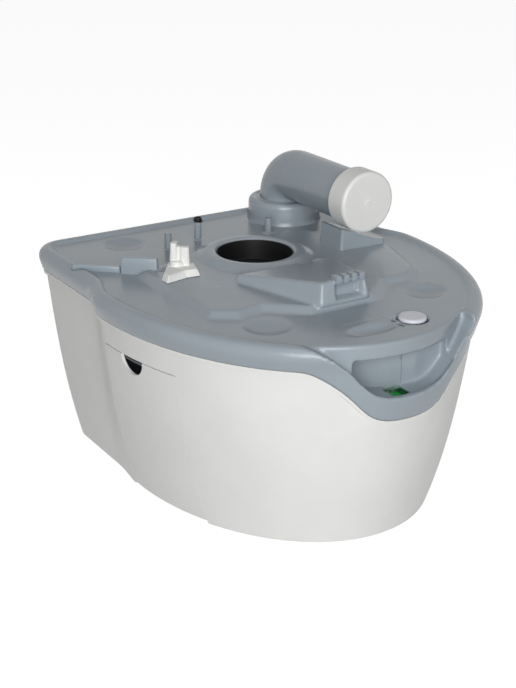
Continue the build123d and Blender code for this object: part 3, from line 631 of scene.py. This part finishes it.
@dataclass
class Deck:
    """Gray top moulding with its soft edges, posts, tower teeth and pockets. Sizes in millimetres.

    Each pocket, slope and recess has the zone whose vertices it may move.
    """

    shelf: FinishShelf
    voxel: float = 1.7
    smoothing: int = 5
    relaxing: int = 2
    most_triangles: int = 180000
    floor_z: float = 215.5
    tower_top: float = 242.6
    posts: Sequence[Point] = ((-58.0, 132.0), (-15.0, 143.0), (64.0, 123.0))
    post_reach: float = 6.5
    post_radius: float = 4.1
    post_height: float = 18.0
    opening: Point = (0.0, 50.0)
    opening_reach: float = 64.0
    pocket: Sequence[Point] = ((28.0, 3.0), (52.0, 4.0), (38.0, -22.0), (11.0, -21.0))
    pocket_depth: float = 4.5
    pocket_edge: float = 3.0
    pocket_zone: Zone = Zone((-200.0, -200.0, 219.0), (200.0, 200.0, 236.0))
    plateau_top: float = 221.5
    slope_out: float = 4.0
    slope_in: float = 6.0
    slope_reach: float = 14.0
    slope_straight: float = 0.75
    window_edge: float = 1.6
    window_zone: Zone = Zone((-12.0, -118.0, 223.6), (20.5, -104.5, 240.0))
    plateau: Sequence[Point] = (
        (-128.0, 66.0),
        (-128.0, -72.0),
        (-104.0, -88.0),
        (-76.0, -82.0),
        (-40.0, -112.0),
        (38.0, -112.0),
        (70.0, -84.0),
        (100.0, -84.0),
        (120.0, -70.0),
        (146.0, 10.0),
        (146.0, 60.0),
        (80.0, 112.0),
        (52.0, 100.0),
        (-60.0, 90.0),
    )
    recess_back: Sequence[Point] = (
        (-56.0, -160.0),
        (-44.0, -164.0),
        (-30.0, -171.0),
        (-14.0, -179.0),
        (0.0, -184.0),
        (10.0, -186.5),
        (24.0, -190.0),
        (56.0, -190.0),
    )
    recess_deep: Zone = Zone((-55.5, -200.0, 148.0), (12.8, -154.5, 200.6))
    recess_shallow: Zone = Zone((9.0, -191.4, 150.0), (24.0, -188.6, 200.6))
    trough_middle: Point = (-14.0, -173.0)
    trough_half: Point = (32.0, 13.5)
    trough_depth: float = 5.6
    trough_edge: float = 0.8
    trough_zone: Zone = Zone((-46.0, -188.0, 208.0), (19.4, -154.0, 216.2))
    button: Point = (34.0, -170.0)
    button_reach: float = 15.0
    fence_low: Sequence[Point] = ((-177.5, 119.5), (-139.0, 86.5), (-135.5, 90.5), (-174.0, 123.5))
    fence_cleared: Sequence[Point] = ((-137.0, 81.5), (-106.0, 54.5), (-100.5, 61.0), (-131.0, 88.0))
    fence_high: Sequence[Point] = ((-140.0, 84.0), (-110.5, 58.2), (-105.5, 64.5), (-134.5, 90.0))
    fence_low_top: float = 222.0
    fence_high_top: float = 233.0
    fence_margin: float = 3.5
    fence_rounding: float = 1.2
    teeth_zone: Zone = Zone((-14.0, -115.8, 242.6), (22.0, -101.8, 300.0))
    tooth_size: Place = (6.0, 9.5, 7.2)
    teeth: Sequence[Place] = field(
        default_factory=lambda: [(4 + 9.0 * (i - 1.5), -108.4, 243.2) for i in range(4)]
    )

    def carve(self, mesh: bpy.types.Mesh) -> None:
        """Clear the places of separate details, then shape the slopes, the pocket and the recesses.

        Args:
            mesh: Dense deck mesh.
        """
        places = np.empty(len(mesh.vertices) * 3)
        facing = np.empty(len(mesh.vertices) * 3)
        mesh.vertices.foreach_get("co", places)
        mesh.vertices.foreach_get("normal", facing)
        places = places.reshape(-1, 3) / MM
        upward = facing.reshape(-1, 3)[:, 2] > 0.35
        self.clear_details(places)
        self.slope_plateau(places, upward)
        self.press_pocket(places)
        self.open_window(places)
        self.dish_trough(places, upward)
        self.sweep_recess(places)
        mesh.vertices.foreach_set("co", (places * MM).ravel())
        mesh.update()

    def clear_details(self, places: np.ndarray) -> None:
        """Flatten what separate pieces stand for: the posts, the teeth and the fence.

        Args:
            places: Vertex places in millimetres, changed here.
        """
        plan, height = places[:, :2], places[:, 2]
        for post in self.posts:
            near = np.linalg.norm(plan - post, axis=1) < self.post_reach
            height[near & (height > self.floor_z + 0.2)] = self.floor_z + 0.1
        height[self.teeth_zone.holds(places)] = self.tower_top
        for outline in (self.fence_low, self.fence_high, self.fence_cleared):
            near = polygon_distance(plan, outline) < self.fence_margin
            height[near & (height > self.floor_z)] = self.floor_z

    def slope_plateau(self, places: np.ndarray, upward: np.ndarray) -> None:
        """Lay the wide soft slope round the plateau.

        Args:
            places: Vertex places in millimetres, changed here.
            upward: Which vertices face up.
        """
        plan, height = places[:, :2], places[:, 2]
        ring = np.linalg.norm(plan - np.array(self.opening), axis=1) - self.opening_reach
        edge = np.minimum(polygon_distance(plan, self.plateau), ring)
        share = np.clip((self.slope_out - edge) / (self.slope_out + self.slope_in), 0, 1)
        share = self.slope_straight * share + (1 - self.slope_straight) * ease(share)
        level = (height > self.floor_z - 0.6) & (height < self.plateau_top + 0.4)
        band = upward & (abs(edge) < self.slope_reach) & level
        height[band] = self.floor_z + share[band] * (self.plateau_top - self.floor_z)

    def press_pocket(self, places: np.ndarray) -> None:
        """Press the slanting pocket into the plateau behind the tower.

        Args:
            places: Vertex places in millimetres, changed here.
        """
        inside = 1.0 - polygon_distance(places[:, :2], self.pocket)
        depth = ease(inside / self.pocket_edge) * self.pocket_depth
        top = self.pocket_zone.holds(places)
        places[top, 2] -= depth[top]

    def open_window(self, places: np.ndarray) -> None:
        """Widen the window in the tower's front.

        Args:
            places: Vertex places in millimetres, changed here.
        """
        x, y, z = places.T
        low_x, _, low_z = self.window_zone.low
        high_x, window_back, high_z = self.window_zone.high
        inside = np.minimum.reduce([x - low_x, high_x - x, z - low_z, high_z - z])
        back = ease(inside / self.window_edge) * (window_back - y)
        face = self.window_zone.holds(places)
        places[face, 1] += back[face]

    def dish_trough(self, places: np.ndarray, upward: np.ndarray) -> None:
        """Round the finger trough behind the handle into a soft dish.

        Args:
            places: Vertex places in millimetres, changed here.
            upward: Which vertices face up.
        """
        x, y, z = places.T
        clear = np.hypot(x - self.button[0], y - self.button[1]) > self.button_reach
        near = self.trough_zone.holds(places) & clear & (upward | (z < self.floor_z - 4))
        (middle_x, middle_y), (half_x, half_y) = self.trough_middle, self.trough_half
        reach = np.hypot((x - middle_x) / half_x, (y - middle_y) / half_y)
        dish = self.floor_z - self.trough_depth * ease((1.0 - reach) / self.trough_edge)
        places[near, 2] = dish[near]

    def sweep_recess(self, places: np.ndarray) -> None:
        """Turn the stepped back wall of the hand recess into one sweeping wall.

        Args:
            places: Vertex places in millimetres, changed here.
        """
        x, y, _ = places.T
        back = np.interp(x, *zip(*self.recess_back))
        deep = self.recess_deep.holds(places)
        places[deep, 1] = np.minimum(y, back)[deep]
        shallow = self.recess_shallow.holds(places)
        places[shallow, 1] = back[shallow]

    def build(self) -> None:
        """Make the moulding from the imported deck, softened at its edges, then its details."""
        work = bmesh.new()
        work.from_mesh(frame["nodes"]["tank_deck"].data)
        deck = mesh_from("deck_moulding", work)
        deck = soften(deck, self.voxel, self.smoothing)
        self.carve(deck.data)
        relax = deck.modifiers.new("relax", "SMOOTH")
        relax.factor = 0.5
        relax.iterations = self.relaxing
        triangles = sum(len(face.vertices) - 2 for face in deck.data.polygons)
        if triangles > self.most_triangles:
            thin = deck.modifiers.new("thin", "DECIMATE")
            thin.ratio = self.most_triangles / triangles
        deck = settle(deck, 60.0)
        self.shelf.mount(deck, Body.TANK, Slot.DECK, ["tank_deck"])
        self.build_posts()
        self.build_teeth()
        self.build_fence()

    def build_fence(self) -> None:
        """Set the low fence and its tall end beside the lever."""
        work = bmesh.new()
        prism(work, self.fence_low, self.floor_z - 1.0, self.fence_low_top, 0.8)
        prism(work, self.fence_high, self.floor_z - 1.0, self.fence_high_top, 1.2)
        fence = round_edges(mesh_from("lever_fence", work), self.fence_rounding)
        self.shelf.mount(fence, Body.TANK, Slot.DECK)

    def build_posts(self) -> None:
        """Set the three locating posts, each a drafted pin on a small flared foot."""
        sizes = {"Radius": self.post_radius * MM, "Height": self.post_height * MM}
        tree = geometry_tree("locating_posts", sizes)
        entry = add_node(tree, "NodeGroupInput")
        pin = add_node(
            tree,
            "GeometryNodeMeshCone",
            settings={"fill_type": "NGON"},
            values={"Vertices": 40, "Side Segments": 1},
            links={"Radius Bottom": entry.outputs["Radius"], "Depth": entry.outputs["Height"]},
        )
        top = add_node(
            tree,
            "ShaderNodeMath",
            settings={"operation": "MULTIPLY"},
            values={1: 0.86},
            links={0: entry.outputs["Radius"]},
        )
        tree.links.new(top.outputs[0], pin.inputs["Radius Top"])
        foot = add_node(
            tree,
            "GeometryNodeMeshCone",
            settings={"fill_type": "NGON"},
            values={"Vertices": 40, "Radius Bottom": 0.0072, "Radius Top": 0.0040, "Depth": 0.0022},
        )
        both = add_node(tree, "GeometryNodeJoinGeometry")
        tree.links.new(foot.outputs["Mesh"], both.inputs[0])
        tree.links.new(pin.outputs["Mesh"], both.inputs[0])
        spread = add_node(
            tree,
            "GeometryNodeInstanceOnPoints",
            links={"Points": entry.outputs["Geometry"], "Instance": both.outputs[0]},
        )
        end_tree(tree, spread.outputs[0], self.shelf.made[Slot.DECK])
        points = [(x, y, self.floor_z - 0.5) for x, y in self.posts]
        piece = run_tree("locating_post_set", points, False, tree, sizes)
        self.shelf.mount(piece, Body.TANK, Slot.DECK)

    def build_teeth(self) -> None:
        """Set the row of rounded teeth over the tower's window."""
        width, length, height = self.tooth_size
        sizes = {"Width": width * MM, "Length": length * MM, "Height": height * MM}
        tree = geometry_tree("tower_teeth", sizes)
        entry = add_node(tree, "NodeGroupInput")
        size = add_node(
            tree,
            "ShaderNodeCombineXYZ",
            links={
                "X": entry.outputs["Width"],
                "Y": entry.outputs["Length"],
                "Z": entry.outputs["Height"],
            },
        )
        block = add_node(
            tree,
            "GeometryNodeMeshCube",
            values={"Vertices X": 2, "Vertices Y": 2, "Vertices Z": 2},
            links={"Size": size.outputs[0]},
        )
        soft = add_node(
            tree,
            "GeometryNodeSubdivisionSurface",
            values={"Level": 3, "Edge Crease": 0.62},
            links={"Mesh": block.outputs["Mesh"]},
        )
        spread = add_node(
            tree,
            "GeometryNodeInstanceOnPoints",
            links={"Points": entry.outputs["Geometry"], "Instance": soft.outputs[0]},
        )
        end_tree(tree, spread.outputs[0], self.shelf.made[Slot.DECK])
        piece = run_tree("tower_tooth_row", self.teeth, False, tree, sizes)
        self.shelf.mount(piece, Body.TANK, Slot.DECK)


@dataclass
class WasteValve:
    """Raised ring round the opening and the white lever that swings the blade."""

    shelf: FinishShelf
    centre: Place = (0.0, 50.0, 0.0)
    ring: Sequence[Point] = (
        (40.0, 205.0),
        (44.0, 205.0),
        (44.0, 221.3),
        (62.4, 221.3),
        (62.4, 221.6),
        (58.8, 222.1),
        (53.4, 226.0),
        (51.0, 226.9),
        (48.0, 227.1),
        (44.6, 227.2),
        (42.2, 226.7),
        (40.8, 225.6),
        (40.1, 224.0),
        (40.0, 221.5),
    )
    # Black sleeve over the throat's inner wall: painted shade for the dark inside the opening, not a
    # part of its own.
    painted_shade_sleeve: Sequence[Point] = ((39.3, 205.2), (40.4, 205.2), (40.4, 224.8), (39.9, 225.4), (39.4, 224.8))
    flange: Sequence[Point] = (
        (-98.0, 21.0),
        (-83.0, 20.0),
        (-77.0, 41.0),
        (-100.0, 58.0),
        (-123.0, 28.0),
        (-123.0, 16.0),
    )
    flange_low: float = 221.9
    flange_top: float = 229.5
    flange_draft: float = 3.2
    pivot: Point = (-98.0, 42.0)
    hub_radius: float = 8.2
    hub_top: float = 234.6
    hub_draft: float = 1.4
    hub_corners: int = 24
    grip_middle: Point = (-93.6, 42.0)
    grip_angle: float = -44.0
    grip_low: float = 224.0
    grip_voxel: float = 0.55
    grip_smoothing: int = 4
    grip: Sequence[Sequence[float]] = (
        (-6.4, 0.4, 8.6, 12.5, 252.2, 1.4),
        (0.6, 1.8, 14.0, 7.0, 248.0, 0.8),
        (4.6, 0.8, 11.4, 10.0, 248.4, 1.4),
    )

    def grip_block(self, along: float, across: float, length: float, width: float) -> list[Point]:
        """Plan of a block of the grip, with cut corners.

        Args:
            along: Its middle along the grip, in millimetres from the grip's middle.
            across: Its middle across the grip.
            length: Its length along the grip.
            width: Its width across the grip.

        Returns:
            Eight corners in plan.
        """
        turn = math.radians(self.grip_angle)
        way = Vector((math.cos(turn), math.sin(turn)))
        side = Vector((-math.sin(turn), math.cos(turn)))
        cut = min(length, width) * 0.22
        half_l, half_w = length / 2, width / 2
        corners = [
            (half_l, -half_w + cut),
            (half_l, half_w - cut),
            (half_l - cut, half_w),
            (-half_l + cut, half_w),
            (-half_l, half_w - cut),
            (-half_l, -half_w + cut),
            (-half_l + cut, -half_w),
            (half_l - cut, -half_w),
        ]
        middle = Vector(self.grip_middle) + way * along + side * across
        return [tuple(middle + way * a + side * b) for a, b in corners]

    def build(self) -> None:
        """Make the ring, the black sleeve of painted shade inside it and the lever."""
        ring = lathe("valve_ring", self.ring, self.centre, 160)
        self.shelf.mount(ring, Body.TANK, Slot.DECK, ["valve_collar"])
        # The black sleeve is painted shade down the throat, laid as a thin skin over the ring's inner
        # wall.
        painted_shade_sleeve = lathe("throat_painted_shade", self.painted_shade_sleeve, self.centre, 160)
        self.shelf.mount(painted_shade_sleeve, Body.TANK, Slot.BLADE)
        self.build_lever()

    def build_lever(self) -> None:
        """Make the lever from its flange, its hub and the blocks of its grip."""
        work = bmesh.new()
        prism(work, self.flange, self.flange_low, self.flange_top, self.flange_draft)
        turns = [2 * math.pi * i / self.hub_corners for i in range(self.hub_corners)]
        hub = [
            (
                self.pivot[0] + self.hub_radius * math.cos(turn),
                self.pivot[1] + self.hub_radius * math.sin(turn),
            )
            for turn in turns
        ]
        prism(work, hub, self.grip_low, self.hub_top, self.hub_draft)
        for along, across, length, width, top, draft in self.grip:
            outline = self.grip_block(along, across, length, width)
            prism(work, outline, self.grip_low, top, draft)
        lever = soften(mesh_from("valve_lever", work), self.grip_voxel, self.grip_smoothing)
        self.shelf.mount(lever, Body.VALVE, Slot.CAP, ["valve_knob"])


@dataclass
class Spout:
    """Swivelling elbow and the collar that holds it. Sizes in millimetres."""

    shelf: FinishShelf
    x: float = 114.0
    y: float = 167.0
    axis_z: float = 270.7
    foot_z: float = 217.0
    end_y: float = 13.2
    bend: float = 30.0
    bend_steps: int = 28
    wall: float = 3.0
    tube_radius: float = 28.0
    neck_radius: float = 26.5
    shoulder_start: float = 39.5
    shoulder_end: float = 38.0
    collar: Sequence[Point] = (
        (28.3, 241.0),
        (28.3, 234.8),
        (38.1, 234.8),
        (38.1, 224.0),
        (41.6, 216.0),
        (42.4, 215.6),
        (41.6, 217.5),
        (41.0, 221.0),
        (41.0, 234.6),
        (40.6, 237.0),
        (39.4, 239.2),
        (37.4, 240.6),
        (35.0, 241.0),
        (33.4, 240.6),
        (32.6, 240.0),
        (31.6, 240.6),
        (30.2, 241.2),
    )

    def build(self) -> None:
        """Make the elbow along its bent path and the collar round its foot."""
        sizes = {"Tube Radius": self.tube_radius * MM, "Bend Radius": self.bend * MM}
        tree = geometry_tree("elbow_tube", sizes)
        entry = add_node(tree, "NodeGroupInput")
        path = add_node(tree, "GeometryNodeMeshToCurve", links={0: entry.outputs["Geometry"]})
        bent = add_node(
            tree,
            "GeometryNodeFilletCurve",
            settings={"mode": "POLY"},
            values={"Count": self.bend_steps},
            links={0: path.outputs[0], "Radius": entry.outputs["Bend Radius"]},
        )
        ring = add_node(
            tree,
            "GeometryNodeCurvePrimitiveCircle",
            values={"Resolution": 96},
            links={"Radius": entry.outputs["Tube Radius"]},
        )
        tube = add_node(
            tree,
            "GeometryNodeCurveToMesh",
            links={"Curve": bent.outputs[0], "Profile Curve": ring.outputs[0]},
        )
        end_tree(tree, tube.outputs[0], self.shelf.made[Slot.DECK])
        points = [
            (self.x, self.y, self.foot_z),
            (self.x, self.y, self.axis_z),
            (self.x, self.end_y, self.axis_z),
        ]
        elbow = run_tree("spout_elbow_tube", points, True, tree, sizes)
        self.neck(elbow.data)
        wall = elbow.modifiers.new("wall", "SOLIDIFY")
        wall.thickness = self.wall * MM
        wall.offset = -1.0
        elbow = settle(elbow)
        self.shelf.mount(elbow, Body.SPOUT, Slot.DECK, ["spout_elbow"])
        collar = lathe("spout_swivel_collar", self.collar, (self.x, self.y, 0.0))
        self.shelf.mount(collar, Body.TANK, Slot.DECK, ["spout_collar"])

    def neck(self, mesh: bpy.types.Mesh) -> None:
        """Cut the tube across at its shoulder and narrow its end to the threaded neck.

        Args:
            mesh: Tube along the bent path.
        """
        work = bmesh.new()
        work.from_mesh(mesh)
        for y in (self.shoulder_start, self.shoulder_end):
            bmesh.ops.bisect_plane(
                work,
                geom=work.verts[:] + work.edges[:] + work.faces[:],
                plane_co=(0, y * MM, 0),
                plane_no=(0, 1, 0),
            )
        for vert in work.verts:
            if vert.co.z > (self.axis_z - 29) * MM and vert.co.y < (self.shoulder_end + 0.5) * MM:
                middle = Vector((self.x * MM, vert.co.y, self.axis_z * MM))
                vert.co = middle + (vert.co - middle) * (self.neck_radius / self.tube_radius)
        bmesh.ops.recalc_face_normals(work, faces=work.faces)
        work.to_mesh(mesh)
        work.free()


@dataclass
class VentButton:
    """Push button of the vent: a shallow crowned disc. Sizes in millimetres."""

    shelf: FinishShelf
    centre: Place = (34.0, -170.0, 0.0)
    profile: Sequence[Point] = (
        (0.6, 214.6),
        (13.5, 214.6),
        (13.6, 214.9),
        (13.6, 216.4),
        (13.3, 217.3),
        (12.6, 217.9),
        (11.2, 218.2),
        (7.0, 218.4),
        (0.6, 218.5),
    )

    def build(self) -> None:
        """Make the button."""
        button = lathe("vent_push_button", self.profile, self.centre, 96)
        work = bmesh.new()
        work.from_mesh(button.data)
        bmesh.ops.holes_fill(work, edges=[e for e in work.edges if e.is_boundary], sides=0)
        middle = Vector(self.centre[:2]) * MM
        for vert in work.verts:
            if (vert.co.xy - middle).length < 1.0 * MM:
                vert.co.xy = middle
        bmesh.ops.remove_doubles(work, verts=work.verts, dist=1e-6)
        work.to_mesh(button.data)
        work.free()
        self.shelf.mount(button, Body.VENT, Slot.BUTTON, ["vent_button"])


def away(azimuth: float, height: float) -> Vector:
    """Direction from the object to a lamp or a camera.

    Args:
        azimuth: Degrees round from the front, towards the right.
        height: Degrees above the floor.

    Returns:
        Unit vector.
    """
    turn, rise = math.radians(azimuth), math.radians(height)
    return Vector((math.sin(turn) * math.cos(rise), -math.cos(turn) * math.cos(rise), math.sin(rise)))


@dataclass
class Studio:
    """Pale floor, white surroundings, a large soft lamp on the camera's side and a weak one above."""

    ambient: float = 0.08
    key_watts: float = 49.0
    key_azimuth: float = -31.0
    key_height: float = 18.0
    key_size: float = 1.5
    top_watts: float = 7.0
    top_azimuth: float = -30.0
    top_height: float = 62.0
    top_size: float = 0.9
    distance: float = 2.5
    floor_glow: float = 0.9
    target: Place = (0.0, 0.0, 0.12)

    def show_white(self, tree: bpy.types.NodeTree) -> bpy.types.NodeSocket:
        """Add a mask that is 1 for camera, glossy and transmission rays.

        Args:
            tree: Floor or world tree.

        Returns:
            Socket with the mask.
        """
        path = add_node(tree, "ShaderNodeLightPath")
        mask = path.outputs["Is Camera Ray"]
        for name in ("Is Glossy Ray", "Is Transmission Ray"):
            either = add_node(
                tree,
                "ShaderNodeMath",
                settings={"operation": "MAXIMUM"},
                links={0: mask, 1: path.outputs[name]},
            )
            mask = either.outputs[0]
        return mask

    def build(self) -> None:
        """Make the floor, the world and the lamps."""
        self.build_floor()
        self.build_world()
        self.build_lamp("key_lamp", self.key_azimuth, self.key_height, self.key_watts, self.key_size)
        self.build_lamp("top_lamp", self.top_azimuth, self.top_height, self.top_watts, self.top_size)

    def build_floor(self) -> None:
        """Make the floor, white to the eye yet plain in the light that it throws back."""
        work = bmesh.new()
        bmesh.ops.create_grid(work, x_segments=1, y_segments=1, size=6.0)
        floor = mesh_from("studio_floor", work)
        floor.data.transform(Matrix.Translation((0, 0, -0.0004)))
        material = bpy.data.materials.new("painted_floor")
        material.use_nodes = True
        tree = material.node_tree
        tree.nodes.clear()
        mask = self.show_white(tree)
        glow = add_node(
            tree,
            "ShaderNodeMath",
            settings={"operation": "MULTIPLY"},
            values={1: self.floor_glow},
            links={0: mask},
        )
        shader = add_node(
            tree,
            "ShaderNodeBsdfPrincipled",
            values={
                "Base Color": linear("#B8B8B8"),
                "Roughness": 0.9,
                "Specular IOR Level": 0.0,
                "Emission Color": (1, 1, 1, 1),
            },
            links={"Emission Strength": glow.outputs[0]},
        )
        add_node(tree, "ShaderNodeOutputMaterial", links={"Surface": shader.outputs["BSDF"]})
        floor.data.materials.append(material)

    def build_world(self) -> None:
        """Make the even surroundings, pure white where the camera sees them."""
        world = bpy.data.worlds.new("white_studio")
        world.use_nodes = True
        bpy.context.scene.world = world
        tree = world.node_tree
        tree.nodes.clear()
        strength = add_node(
            tree,
            "ShaderNodeMapRange",
            values={"To Min": self.ambient, "To Max": 1.0},
            links={"Value": self.show_white(tree)},
        )
        glow = add_node(tree, "ShaderNodeBackground", links={"Strength": strength.outputs["Result"]})
        glow.inputs["Color"].default_value = (1, 1, 1, 1)
        add_node(tree, "ShaderNodeOutputWorld", links={"Surface": glow.outputs[0]})

    def build_lamp(self, name: str, azimuth: float, height: float, watts: float, size: float) -> None:
        """Hang one square soft lamp that faces the object.

        Args:
            name: Name of the lamp.
            azimuth: Degrees round from the front, towards the right.
            height: Degrees above the floor.
            watts: Power of the lamp.
            size: Length of its side in metres.
        """
        light = bpy.data.lights.new(name, "AREA")
        light.energy = watts
        light.size = size
        lamp = bpy.data.objects.new(name, light)
        bpy.context.scene.collection.objects.link(lamp)
        back = away(azimuth, height)
        lamp.location = Vector(self.target) + back * self.distance
        lamp.rotation_euler = back.to_track_quat("Z", "Y").to_euler()


@dataclass
class PhotoCamera:
    """Camera fitted to the outlines in the photograph."""

    azimuth: float = -32.467
    elevation: float = 22.861
    roll: float = 0.362
    distance: float = 1.38523
    target: Place = (-0.02705, 0.010, 0.11854)
    lens: float = 69.55
    shift: Point = (0.0074, 0.0280)

    def build(self) -> None:
        """Place the camera at the photograph's angle."""
        turn, tilt = math.radians(self.azimuth), math.radians(self.roll)
        back = away(self.azimuth, self.elevation)
        level = Vector((math.cos(turn), math.sin(turn), 0))
        upright = back.cross(level)
        right = level * math.cos(tilt) + upright * math.sin(tilt)
        up = upright * math.cos(tilt) - level * math.sin(tilt)
        data = bpy.data.cameras.new("photo_camera")
        data.sensor_width = 36.0
        data.lens = self.lens
        data.shift_x, data.shift_y = self.shift
        camera = bpy.data.objects.new("photo_camera", data)
        bpy.context.scene.collection.objects.link(camera)
        place = Matrix((right, up, back)).transposed().to_4x4()
        place.translation = Vector(self.target) + back * self.distance
        camera.matrix_world = place
        bpy.context.scene.camera = camera


def main() -> None:
    """Dress the part, light it and place the camera."""
    logging.basicConfig(level=logging.INFO, format="%(name)s: %(message)s")
    bpy.context.scene.view_settings.view_transform = "Standard"
    shelf = FinishShelf()
    shelf.dress_cad()
    for group in (Deck(shelf), WasteValve(shelf), Spout(shelf), VentButton(shelf)):
        log.info("building %s", type(group).__name__)
        group.build()
    Studio().build()
    PhotoCamera().build()


if __name__ == "__main__":
    main()
